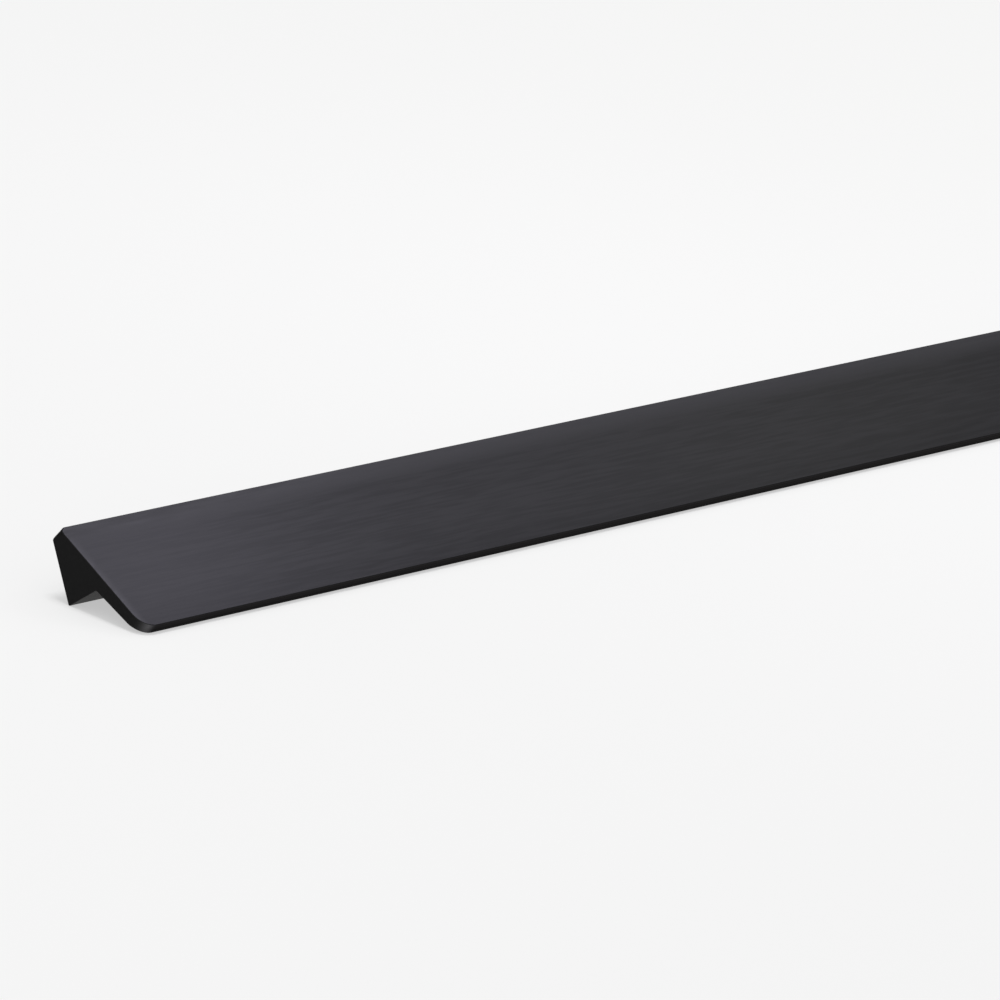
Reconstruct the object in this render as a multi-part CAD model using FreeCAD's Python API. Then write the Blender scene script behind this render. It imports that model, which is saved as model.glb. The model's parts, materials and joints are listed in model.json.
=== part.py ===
import FreeCAD, Part
import math
import os

# A finger pull for a drawer or door front, cut from one solid aluminium extrusion. A flat plate slopes
# down and away from the front, a wedge behind its upper half carries the mounting face, and the fingers
# reach up into the recess behind the lower half.
#
# The section is drawn as it is mounted, with the mounting face upright and the lip hanging forward, to
# -Y. The finished piece then lies face up, on the heel of the mounting face and the underside of the lip.
# X runs along the profile, Z is up, and the origin is on the floor below the middle of the piece.

# Driving dimensions, in millimetres and degrees
length = 596.0
face_width = 40.0
face_slope = 34.5
top_thickness = 4.2
recess_thickness = 4.35
lip_thickness = 3.2
lip_reach = 19.15
roof_slope = 11.0

# Rounds: the corners of the plate seen square to its face, the corners of the section, the broken edges
lip_corner_round = 5.5
top_corner_round = 2.4
top_corner_round_behind = 0.8
heel_round = 0.45
recess_round = 0.5
edge_round = 0.25

# Tapped holes in the mounting face, drawn at their tapping size
hole_count = 3
hole_spacing = 256.0
hole_diameter = 3.3
hole_end_wall = 2.0
hole_mouth_chamfer = 0.4
drill_point_angle = 118.0

# Directions: along the profile, out of the mounting face, down the plate's face and straight out of it
slope = math.radians(face_slope)
along = FreeCAD.Vector(1, 0, 0)
forward = FreeCAD.Vector(0, -1, 0)
down_face = FreeCAD.Vector(0, -math.sin(slope), -math.cos(slope))
out_of_face = FreeCAD.Vector(0, -math.cos(slope), math.sin(slope))
left_end = along * (-length / 2)
right_end = along * (length / 2)

# Corners of the section, from the top of the mounting face round to its heel
top_rear = FreeCAD.Vector(0, 0, 0)
top_front = top_rear + out_of_face * top_thickness
lip_front = top_front + down_face * face_width
lip_rear = lip_front - out_of_face * lip_thickness
recess_corner = top_front + down_face * (face_width - lip_reach) - out_of_face * recess_thickness
heel = FreeCAD.Vector(0, 0, recess_corner.z + recess_corner.y * math.tan(math.radians(roof_slope)))


def arc_at(before, corner, after, radius):
    """The arc that rounds a corner of an outline, and the arc's centre."""
    back = (before - corner).normalize()
    on = (after - corner).normalize()
    inward = (back + on).normalize()
    half_angle = back.getAngle(on) / 2
    reach = radius / math.tan(half_angle)
    centre = corner + inward * (radius / math.sin(half_angle))
    return Part.Arc(corner + back * reach, centre - inward * radius, corner + on * reach), centre


def rounded_outline(corners, radii):
    """A closed flat wire through the corners, each one rounded by its radius or left sharp at zero."""
    arcs = []
    ends = []
    for i, (corner, radius) in enumerate(zip(corners, radii)):
        if not radius:
            ends.append((corner, corner))
            continue
        arc, _ = arc_at(corners[i - 1], corner, corners[(i + 1) % len(corners)], radius)
        arcs.append(arc.toShape())
        ends.append((arc.StartPoint, arc.EndPoint))
    lines = [Part.makeLine(ends[i - 1][1], ends[i][0]) for i in range(len(ends))]
    return Part.Wire(Part.__sortEdges__(lines + arcs))


def extrusion():
    """The bare extrusion: its section swept along the whole length."""
    corners = [top_rear, top_front, lip_front, lip_rear, recess_corner, heel]
    section = rounded_outline(corners, [0, 0, 0, 0, recess_round, heel_round])
    section.translate(left_end)
    return Part.Face(section).extrude(right_end - left_end)


def plate_blank():
    """A deep block with the plate's outline seen square to its face, the lip's two corners rounded."""
    corners = [top_front + left_end, top_front + right_end, lip_front + right_end, lip_front + left_end]
    outline = rounded_outline(corners, [0, 0, lip_corner_round, lip_corner_round])
    depth = face_width + top_thickness
    return Part.Face(outline).extrude(out_of_face * -depth)


def with_eased_top_corners(solid):
    """Rounds the two upper corners of the plate, more at its face than behind."""
    for end in (left_end, right_end):
        front = top_front + end
        middle = (front + top_rear + end) / 2
        corner = min(solid.Edges, key=lambda edge: edge.CenterOfMass.distanceToPoint(middle))
        radii = [top_corner_round, top_corner_round_behind]
        if corner.Vertexes[0].Point.distanceToPoint(front) > top_thickness / 2:
            radii.reverse()
        solid = solid.makeFillet(*radii, [corner])
    return solid


def rim_edges(solid):
    """The edges of the plate's rim, where it meets the face and where it meets the sides behind."""
    largest_lean = math.sin(math.radians(20))

    def on_rim(face):
        low_u, high_u, low_v, high_v = face.ParameterRange
        normal = face.normalAt((low_u + high_u) / 2, (low_v + high_v) / 2)
        return abs(normal.dot(out_of_face)) < largest_lean

    rim = [face for face in solid.Faces if on_rim(face)]
    edges = []
    for edge in solid.Edges:
        rim_neighbours = sum(any(edge.isSame(other) for other in face.Edges) for face in rim)
        if rim_neighbours == 1:
            edges.append(edge)
    return edges


def blank():
    """The profile cut to length, its corners and edges rounded, before the holes are drilled."""
    solid = with_eased_top_corners(extrusion().common(plate_blank()))
    return solid.makeFillet(edge_round, rim_edges(solid))


def hole_positions():
    first = -hole_spacing * (hole_count - 1) / 2
    return [first + hole_spacing * i for i in range(hole_count)]


def tapped_hole(x):
    """The drilled space of one blind hole, square to the mounting face at half its height."""
    radius = hole_diameter / 2
    mouth = (top_rear + heel) / 2 + along * x
    metal = (top_front.z - mouth.z - radius) * math.tan(slope) - top_front.y
    depth = metal - hole_end_wall
    point = radius / math.tan(math.radians(drill_point_angle / 2))
    bore = Part.makeCylinder(radius, depth, mouth, forward)
    tip = Part.makeCone(radius, 0, point, mouth + forward * depth, forward)
    lead_in = Part.makeCone(radius + hole_mouth_chamfer, radius, hole_mouth_chamfer, mouth, forward)
    return bore.fuse([tip, lead_in])


def lying_turn():
    """The turn about X that lays the piece on its heel's round and the round under its lip."""
    _, heel_centre = arc_at(recess_corner, heel, top_rear, heel_round)
    _, lip_centre = arc_at(lip_front, lip_rear, recess_corner, edge_round)
    span = lip_centre - heel_centre
    drop = math.atan2(-span.z, -span.y)
    uneven = math.asin((heel_round - edge_round) / span.Length)
    return FreeCAD.Rotation(along, math.degrees(uneven - drop))


def lying_place(solid):
    """The placement that lays the piece face up on the floor, the middle of its depth over the origin."""
    turn = FreeCAD.Placement(FreeCAD.Vector(), lying_turn())
    box = solid.transformed(turn.toMatrix(), True).optimalBoundingBox(False)
    return FreeCAD.Placement(FreeCAD.Vector(0, -box.Center.y, -box.ZMin), lying_turn())


def pull_profile():
    solid = blank()
    place = lying_place(solid)
    solid = solid.cut([tapped_hole(x) for x in hole_positions()])
    return solid.transformed(place.toMatrix(), True).Solids[0]


os.makedirs("parts", exist_ok=True)
pull_profile().exportStep("parts/pull_profile.step")
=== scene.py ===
import json
import math

import bmesh
import bpy
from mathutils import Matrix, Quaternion, Vector


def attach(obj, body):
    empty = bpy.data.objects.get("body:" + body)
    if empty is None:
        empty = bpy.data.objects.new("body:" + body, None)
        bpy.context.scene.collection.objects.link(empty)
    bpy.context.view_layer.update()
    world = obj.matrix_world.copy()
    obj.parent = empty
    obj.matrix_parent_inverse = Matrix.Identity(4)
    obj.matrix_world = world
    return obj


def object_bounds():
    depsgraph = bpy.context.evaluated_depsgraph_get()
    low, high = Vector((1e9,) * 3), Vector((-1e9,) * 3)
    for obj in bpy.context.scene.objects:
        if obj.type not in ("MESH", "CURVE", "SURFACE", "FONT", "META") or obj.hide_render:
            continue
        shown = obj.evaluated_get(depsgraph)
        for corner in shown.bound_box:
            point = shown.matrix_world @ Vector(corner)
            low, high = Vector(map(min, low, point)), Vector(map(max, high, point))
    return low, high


# A black anodised finger pull profile, lying face up on a pale floor. The solid gets its finish here: long
# grain on the brushed face, drawing lines on the extruded sides, routed corners at the lip and saw marks on
# the ends. The tapped holes get their screw threads.

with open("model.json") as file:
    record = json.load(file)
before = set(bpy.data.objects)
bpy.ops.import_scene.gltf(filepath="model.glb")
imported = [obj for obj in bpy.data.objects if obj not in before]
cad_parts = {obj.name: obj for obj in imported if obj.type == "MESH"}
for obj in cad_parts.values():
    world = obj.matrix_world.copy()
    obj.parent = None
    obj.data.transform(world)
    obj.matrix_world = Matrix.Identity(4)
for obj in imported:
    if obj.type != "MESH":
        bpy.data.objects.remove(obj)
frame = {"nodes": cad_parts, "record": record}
cad_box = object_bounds()
scene = bpy.context.scene
scene.view_settings.view_transform = "Standard"

MM = 0.001
profile = frame["nodes"]["pull_profile"]
screw_holes = [m for m in frame["record"]["mounts"] if m["kind"] == "threaded_hole"]

# Directions as the profile lies: along it, out of the mounting face, out of the brushed face and down that
# face, which leans from the mounting face by its slope
ALONG = Vector((1.0, 0.0, 0.0))
FACE_SLOPE = math.radians(34.5)
MOUNTING_NORMAL = Vector(screw_holes[0]["axis"])
FACE_NORMAL = Quaternion(ALONG, math.pi - FACE_SLOPE) @ MOUNTING_NORMAL
DOWN_FACE = Quaternion(ALONG, math.pi / 2) @ FACE_NORMAL

# The brushed face on the line down it, from its top edge to the lip, and the ends either way along it
FACE_WIDTH = 40.0 * MM
TOP_EDGE = -24.45 * MM
LIP_EDGE = TOP_EDGE + FACE_WIDTH
END = cad_box[1][0]
# Widths of the face's strips beside those edges: painted highlight by the top edge and the ends, painted
# shade by the lip
TOP_STRIP_PAINTED_HIGHLIGHT_WIDTH = 9.5 * MM
LIP_PAINTED_SHADE_WIDTH = 14.0 * MM
END_PAINTED_HIGHLIGHT_WIDTH = 3.5 * MM

# Where a finish takes over, as the cosine between the surface's normal and the finish's direction, from none
# of it to all of it
FACE_TURN = (0.93, 0.995)
CORNER_TURN = (0.04, 0.52)
END_TURN = (0.40, 0.97)
# The eased rim has less of the routed finish, the more it turns towards the face
RIM_TURN = (0.1, 0.5)
RIM_SHARE = 0.5

# Colours of the finish, as linear values
BRUSHED_BLACK = (0.0797, 0.0781, 0.0893, 1.0)
EXTRUDED_BLACK = (0.0250, 0.0245, 0.0258, 1.0)
# Painted light: the mounting face is coloured lighter than the other extruded sides, against the shade it
# lies in
MOUNTING_BLACK_PAINTED_LIGHTER = (0.0480, 0.0472, 0.0492, 1.0)
ROUTED_BLACK = (0.0920, 0.0904, 0.0943, 1.0)
SAWN_BLACK = (0.0218, 0.0217, 0.0219, 1.0)
# The brushed colour in the face's strips, as a share of that in its middle: lighter as painted highlight,
# darker as painted shade
TOP_PAINTED_HIGHLIGHT_SHARE = 1.70
LIP_PAINTED_SHADE_SHARE = 0.90
END_PAINTED_HIGHLIGHT_SHARE = 1.25

# Lines of each finish: how many to the metre along and across the profile, and their fineness. The grain has
# three widths of line, each with its share.
GRAIN_LINES = ((0.25, (90.0, 3600.0, 2.0)), (0.5, (50.0, 1000.0, 1.0)), (0.25, (12.0, 350.0, 1.0)))
DRAWING_LINES = (1.2, 2600.0, 1.0)
SAWING_LINES = (2000.0, 900.0, 3.0)
# How far the lines differ from their finish's colour, and the noise at which they are darkest and lightest
GRAIN_CONTRAST = 0.10
DRAWING_CONTRAST = 0.12
SAWING_CONTRAST = 0.15
GRAIN_STEP = (0.38, 0.62)
DRAWING_STEP = (0.35, 0.65)

# Roughness of each finish, from its dark lines to its light ones, and what the face's top strip has more
ROUGHNESS_STEP = (0.25, 0.75)
FACE_ROUGHNESS = (0.33, 0.41)
SIDE_ROUGHNESS = (0.24, 0.28)
END_ROUGHNESS = (0.50, 0.62)
TOP_EXTRA_ROUGHNESS = 0.45

# Depth of the lines, how far the gloss spreads across them, and how dark the layer is at a grazing look
LINE_DEPTH = 0.02 * MM
LINE_STRENGTH = 0.25
GLOSS_SPREAD = 0.8
GRAZING_TINT = (0.453, 0.450, 0.446, 1.0)


def shade(colour, share):
    """A colour made darker or lighter."""
    return tuple(share * c for c in colour[:3]) + (1.0,)


def add_node(tree, kind, **settings):
    node = tree.nodes.new(kind)
    for name, value in settings.items():
        setattr(node, name, value)
    return node


def feed(tree, socket, value):
    """Links a socket to another one, or sets it to a plain value."""
    if isinstance(value, bpy.types.NodeSocket):
        tree.links.new(value, socket)
    else:
        socket.default_value = value


def math_node(tree, operation, a, b=None):
    node = add_node(tree, "ShaderNodeMath", operation=operation)
    feed(tree, node.inputs[0], a)
    if b is not None:
        feed(tree, node.inputs[1], b)
    return node.outputs[0]


def ramp(tree, value, low, high, to_low=0.0, to_high=1.0):
    """A soft step from one value to another."""
    node = add_node(tree, "ShaderNodeMapRange", interpolation_type="SMOOTHSTEP")
    for name, number in (("Value", value), ("From Min", low), ("From Max", high),
                         ("To Min", to_low), ("To Max", to_high)):
        feed(tree, node.inputs[name], number)
    return node.outputs["Result"]


def mix_values(tree, share, a, b):
    node = add_node(tree, "ShaderNodeMix", data_type="FLOAT")
    feed(tree, node.inputs[0], share)
    feed(tree, node.inputs[2], a)
    feed(tree, node.inputs[3], b)
    return node.outputs[0]


def mix_colours(tree, share, a, b):
    node = add_node(tree, "ShaderNodeMix", data_type="RGBA")
    feed(tree, node.inputs[0], share)
    feed(tree, node.inputs[6], a)
    feed(tree, node.inputs[7], b)
    return node.outputs[2]


def dot(tree, vector, direction):
    node = add_node(tree, "ShaderNodeVectorMath", operation="DOT_PRODUCT")
    feed(tree, node.inputs[0], vector)
    node.inputs[1].default_value = direction
    return node.outputs["Value"]


def streaks(tree, place, along, across, fineness):
    """Noise drawn out into lines: along and across are lines to the metre in each direction."""
    spread = add_node(tree, "ShaderNodeMapping")
    feed(tree, spread.inputs["Vector"], place)
    spread.inputs["Scale"].default_value = (along, across, across)
    noise = add_node(tree, "ShaderNodeTexNoise")
    feed(tree, noise.inputs["Vector"], spread.outputs["Vector"])
    noise.inputs["Scale"].default_value = 1.0
    noise.inputs["Detail"].default_value = fineness
    noise.inputs["Roughness"].default_value = 0.55
    return noise.outputs["Fac"]


def lined(tree, lines, colour, contrast):
    """A colour with darker and lighter lines."""
    return mix_colours(tree, lines, shade(colour, 1.0 - contrast), shade(colour, 1.0 + contrast))


def finish_zones(tree, place, normal):
    """Masks of where each finish lies, and of the strips beside the face's edges that get painted highlight
    and shade.
    """
    facing = dot(tree, normal, FACE_NORMAL)
    endwise = math_node(tree, "ABSOLUTE", dot(tree, normal, ALONG))
    down = dot(tree, place, DOWN_FACE)
    along = math_node(tree, "ABSOLUTE", dot(tree, place, ALONG))
    corner = ramp(tree, endwise, *CORNER_TURN)
    rim = ramp(tree, facing, *RIM_TURN, 1.0, RIM_SHARE)
    return {
        "face": ramp(tree, facing, *FACE_TURN),
        "mounting_face": ramp(tree, dot(tree, normal, MOUNTING_NORMAL), *FACE_TURN),
        "corner": math_node(tree, "MULTIPLY", corner, rim),
        "end": ramp(tree, endwise, *END_TURN),
        # Strips of painted highlight by the top edge and the ends, and of painted shade towards the lip; the
        # top one is also rougher
        "top_strip_painted_highlight": ramp(tree, down, TOP_EDGE, TOP_EDGE + TOP_STRIP_PAINTED_HIGHLIGHT_WIDTH, 1.0, 0.0),
        "lip_painted_shade": ramp(tree, down, LIP_EDGE - LIP_PAINTED_SHADE_WIDTH, LIP_EDGE),
        "end_painted_highlight": ramp(tree, along, END - END_PAINTED_HIGHLIGHT_WIDTH, END),
    }


def finish_lines(tree, place):
    """Long grain of the brushed face, drawing lines of the die on the sides and saw marks on the ends."""
    grain = 0.0
    for share, lines in GRAIN_LINES:
        width = math_node(tree, "MULTIPLY", streaks(tree, place, *lines), share)
        grain = math_node(tree, "ADD", grain, width)
    return grain, streaks(tree, place, *DRAWING_LINES), streaks(tree, place, *SAWING_LINES)


def by_zone(tree, zone, side, face, end):
    """A value that differs between the sides, the brushed face and the ends."""
    return mix_values(tree, zone["end"], mix_values(tree, zone["face"], side, face), end)


def finish_colour(tree, zone, grain, drawing, sawing):
    grained = ramp(tree, grain, *GRAIN_STEP)
    drawn = ramp(tree, drawing, *DRAWING_STEP)
    brushed = lined(tree, grained, BRUSHED_BLACK, GRAIN_CONTRAST)
    # Painted shade: the brushed colour made darker towards the lip
    painted_shade_by_lip = lined(tree, grained, shade(BRUSHED_BLACK, LIP_PAINTED_SHADE_SHARE), GRAIN_CONTRAST)
    brushed = mix_colours(tree, zone["lip_painted_shade"], brushed, painted_shade_by_lip)
    # Painted highlight: the brushed colour made lighter by the ends
    brushed = mix_colours(tree, zone["end_painted_highlight"], brushed, shade(BRUSHED_BLACK, END_PAINTED_HIGHLIGHT_SHARE))
    # Painted highlight: the brushed colour made lighter by the top edge
    brushed = mix_colours(tree, zone["top_strip_painted_highlight"], brushed, shade(BRUSHED_BLACK, TOP_PAINTED_HIGHLIGHT_SHARE))
    extruded = lined(tree, drawn, EXTRUDED_BLACK, DRAWING_CONTRAST)
    mounting = lined(tree, drawn, MOUNTING_BLACK_PAINTED_LIGHTER, DRAWING_CONTRAST)
    sawn = lined(tree, sawing, SAWN_BLACK, SAWING_CONTRAST)
    colour = mix_colours(tree, zone["mounting_face"], extruded, mounting)
    colour = mix_colours(tree, zone["face"], colour, brushed)
    colour = mix_colours(tree, zone["corner"], colour, ROUTED_BLACK)
    return mix_colours(tree, zone["end"], colour, sawn)


def finish_roughness(tree, zone, grain, drawing, sawing):
    extra = math_node(tree, "MULTIPLY", zone["top_strip_painted_highlight"], TOP_EXTRA_ROUGHNESS)
    face = ramp(tree, grain, *ROUGHNESS_STEP, *FACE_ROUGHNESS)
    face = math_node(tree, "MULTIPLY", face, math_node(tree, "ADD", extra, 1.0))
    side = ramp(tree, drawing, *ROUGHNESS_STEP, *SIDE_ROUGHNESS)
    end = ramp(tree, sawing, *ROUGHNESS_STEP, *END_ROUGHNESS)
    return by_zone(tree, zone, side, face, end)


def black_anodised_aluminium():
    material = bpy.data.materials.new("black_anodised_aluminium")
    material.use_nodes = True
    tree = material.node_tree
    shader = tree.nodes["Principled BSDF"]
    coords = add_node(tree, "ShaderNodeTexCoord")
    place = coords.outputs["Object"]
    zone = finish_zones(tree, place, coords.outputs["Normal"])
    grain, drawing, sawing = finish_lines(tree, place)
    feed(tree, shader.inputs["Base Color"], finish_colour(tree, zone, grain, drawing, sawing))
    feed(tree, shader.inputs["Roughness"], finish_roughness(tree, zone, grain, drawing, sawing))

    bump = add_node(tree, "ShaderNodeBump")
    feed(tree, bump.inputs["Height"], by_zone(tree, zone, drawing, grain, sawing))
    bump.inputs["Strength"].default_value = LINE_STRENGTH
    bump.inputs["Distance"].default_value = LINE_DEPTH
    feed(tree, shader.inputs["Normal"], bump.outputs["Normal"])

    # The gloss spreads across the lines, which run along the profile
    across_lines = add_node(tree, "ShaderNodeCombineXYZ")
    across_lines.inputs["Z"].default_value = 1.0
    feed(tree, shader.inputs["Tangent"], across_lines.outputs["Vector"])
    shader.inputs["Metallic"].default_value = 1.0
    shader.inputs["Anisotropic"].default_value = GLOSS_SPREAD
    shader.inputs["Specular Tint"].default_value = GRAZING_TINT
    return material


# Screw threads: their pitch, how far they stand in from the bored wall and reach into it, half the width of
# their foot, how far inside the mouth they start, and their length
THREAD_PITCH = 0.7 * MM
THREAD_HEIGHT = 0.10 * MM
THREAD_ROOT = 0.02 * MM
THREAD_HALF_FOOT = 0.30 * THREAD_PITCH
THREAD_START = 0.5 * THREAD_PITCH
THREAD_TURNS = 10
STEPS_A_TURN = 32


def screw_thread(hole, material):
    """The thread in a tapped hole: a three-cornered ridge wound round the bore, from the mouth inwards."""
    radius = hole["dims"]["r_mm"] * MM
    depth = hole["dims"]["length_mm"] * MM
    out = Vector(hole["axis"])
    ridge = bmesh.new()
    corners = [ridge.verts.new(place) for place in (
        (radius + THREAD_ROOT, 0.0, -THREAD_HALF_FOOT),
        (radius - THREAD_HEIGHT, 0.0, 0.0),
        (radius + THREAD_ROOT, 0.0, THREAD_HALF_FOOT))]
    section = [ridge.edges.new((corners[i - 1], corners[i])) for i in range(3)]
    wound = bmesh.ops.spin(ridge, geom=corners + section, cent=(0, 0, 0), axis=(0, 0, 1),
                           dvec=(0, 0, THREAD_PITCH / STEPS_A_TURN),
                           angle=math.tau * THREAD_TURNS, steps=THREAD_TURNS * STEPS_A_TURN)
    last = [e for e in wound["geom_last"] if isinstance(e, bmesh.types.BMEdge)]
    bmesh.ops.holes_fill(ridge, edges=section + last, sides=3)
    bmesh.ops.recalc_face_normals(ridge, faces=ridge.faces)
    start = Vector(hole["pos_m"]) + out * (depth / 2 - THREAD_START)
    bmesh.ops.rotate(ridge, verts=ridge.verts, matrix=(-out).to_track_quat("Z", "Y").to_matrix())
    bmesh.ops.translate(ridge, verts=ridge.verts, vec=start)
    name = hole["name"].replace("screw_hole", "screw_thread")
    mesh = bpy.data.meshes.new(name)
    ridge.to_mesh(mesh)
    ridge.free()
    mesh.materials.append(material)
    thread = bpy.data.objects.new(name, mesh)
    scene.collection.objects.link(thread)
    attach(thread, "root")


# The light: the sky's strength, and the overhead light's direction, strength and how wide it looks
SKY_STRENGTH = 0.42
OVERHEAD = Vector((0.0, 0.1, 1.0))
OVERHEAD_STRENGTH = 1.4
OVERHEAD_SPREAD = math.radians(20)
# The fill lamps hang in one row, equally high, deep and bright
FILL_ROW = 0.1
FILL_HEIGHT = 0.62
FILL_DEPTH = 0.7
FILL_BRIGHTNESS = 0.32


def sky():
    world = bpy.data.worlds.new("studio")
    scene.world = world
    world.use_nodes = True
    background = world.node_tree.nodes["Background"]
    background.inputs["Color"].default_value = (1.0, 1.0, 1.0, 1.0)
    background.inputs["Strength"].default_value = SKY_STRENGTH


def overhead_light():
    """An even light for the floor and its shadows, which the metal doesn't mirror."""
    lamp = bpy.data.lights.new("overhead", "SUN")
    lamp.energy = OVERHEAD_STRENGTH
    lamp.angle = OVERHEAD_SPREAD
    holder = bpy.data.objects.new("overhead", lamp)
    holder.rotation_mode = "QUATERNION"
    holder.rotation_quaternion = OVERHEAD.to_track_quat("Z", "Y")
    holder.visible_glossy = False
    scene.collection.objects.link(holder)


def softbox(name, centre, width, depth, brightness, colour=(1.0, 1.0, 1.0)):
    """A soft rectangular lamp that faces straight down, as bright to look at as its brightness says."""
    lamp = bpy.data.lights.new(name, "AREA")
    lamp.shape = "RECTANGLE"
    lamp.size = width
    lamp.size_y = depth
    lamp.energy = brightness * math.pi * width * depth
    lamp.color = colour
    holder = bpy.data.objects.new(name, lamp)
    holder.location = centre
    holder.visible_camera = False
    scene.collection.objects.link(holder)


def fill_lamp(name, x, width, colour=(1.0, 1.0, 1.0)):
    softbox(name, (x, FILL_ROW, FILL_HEIGHT), width, FILL_DEPTH, FILL_BRIGHTNESS, colour)


def lamps():
    """The key brightens the near end of the face, and the fills give the rest of it an even sheen."""
    overhead_light()
    softbox("key", (0.087, 0.06, 0.36), width=0.12, depth=0.4, brightness=1.03, colour=(0.97, 0.955, 1.02))
    fill_lamp("fill", 0.505, 0.39)
    fill_lamp("warm_fill", 0.835, 0.27, (1.0, 1.06, 0.75))
    fill_lamp("left_fill", -0.64, 0.66)


# The floor: half its width, its paper's colour, and how much of it is plain white to look at
FLOOR_HALF_WIDTH = 6.0
PAPER = (0.88, 0.88, 0.88, 1.0)
PAPER_WHITE = 0.5


def white_paper():
    paper = bpy.data.materials.new("white_paper")
    paper.use_nodes = True
    tree = paper.node_tree
    surface = tree.nodes["Principled BSDF"]
    surface.inputs["Base Color"].default_value = PAPER
    surface.inputs["Roughness"].default_value = 1.0
    surface.inputs["Specular IOR Level"].default_value = 0.0

    # The camera and the gloss of the metal see the paper partly as plain white, so its shadows stay pale
    rays = add_node(tree, "ShaderNodeLightPath")
    mirrored = math_node(tree, "MAXIMUM", rays.outputs["Is Glossy Ray"], rays.outputs["Is Transmission Ray"])
    seen = math_node(tree, "MAXIMUM", rays.outputs["Is Camera Ray"], mirrored)
    white = add_node(tree, "ShaderNodeEmission")
    blend = add_node(tree, "ShaderNodeMixShader")
    feed(tree, blend.inputs[0], math_node(tree, "MULTIPLY", seen, PAPER_WHITE))
    feed(tree, blend.inputs[1], surface.outputs["BSDF"])
    feed(tree, blend.inputs[2], white.outputs["Emission"])

    # From below the paper can be looked through, to see the underside
    side = add_node(tree, "ShaderNodeNewGeometry")
    clear = add_node(tree, "ShaderNodeBsdfTransparent")
    one_sided = add_node(tree, "ShaderNodeMixShader")
    feed(tree, one_sided.inputs[0], side.outputs["Backfacing"])
    feed(tree, one_sided.inputs[1], blend.outputs["Shader"])
    feed(tree, one_sided.inputs[2], clear.outputs["BSDF"])
    feed(tree, tree.nodes["Material Output"].inputs["Surface"], one_sided.outputs["Shader"])
    return paper


def pale_floor():
    mesh = bpy.data.meshes.new("floor")
    sheet = bmesh.new()
    bmesh.ops.create_grid(sheet, x_segments=1, y_segments=1, size=FLOOR_HALF_WIDTH)
    sheet.to_mesh(mesh)
    sheet.free()
    mesh.materials.append(white_paper())
    floor = bpy.data.objects.new("floor", mesh)
    scene.collection.objects.link(floor)


# The camera: its direction from the object, how far it leans, and where its axis passes the origin
VIEW_AZIMUTH = math.radians(-52.987)
VIEW_ELEVATION = math.radians(17.332)
VIEW_ROLL = math.radians(9.128)
VIEW_DISTANCE = 2369.90 * MM
AXIS_RIGHT = -74.684 * MM
AXIS_UP = -9.124 * MM
LENS = 276.21
SENSOR = 36.0


def camera():
    level = math.cos(VIEW_ELEVATION)
    back = Vector((math.sin(VIEW_AZIMUTH) * level, -math.cos(VIEW_AZIMUTH) * level, math.sin(VIEW_ELEVATION)))
    turn = back.to_track_quat("Z", "Y") @ Quaternion((0, 0, 1), VIEW_ROLL)
    lens = bpy.data.cameras.new("camera")
    lens.sensor_width = SENSOR
    lens.lens = LENS
    holder = bpy.data.objects.new("camera", lens)
    holder.rotation_mode = "QUATERNION"
    holder.rotation_quaternion = turn
    holder.location = turn @ Vector((AXIS_RIGHT, AXIS_UP, VIEW_DISTANCE))
    scene.collection.objects.link(holder)
    scene.camera = holder


anodised = black_anodised_aluminium()
profile.material_slots[0].material = anodised
for screw_hole in screw_holes:
    screw_thread(screw_hole, anodised)
sky()
lamps()
pale_floor()
camera()

bpy.context.view_layer.update()
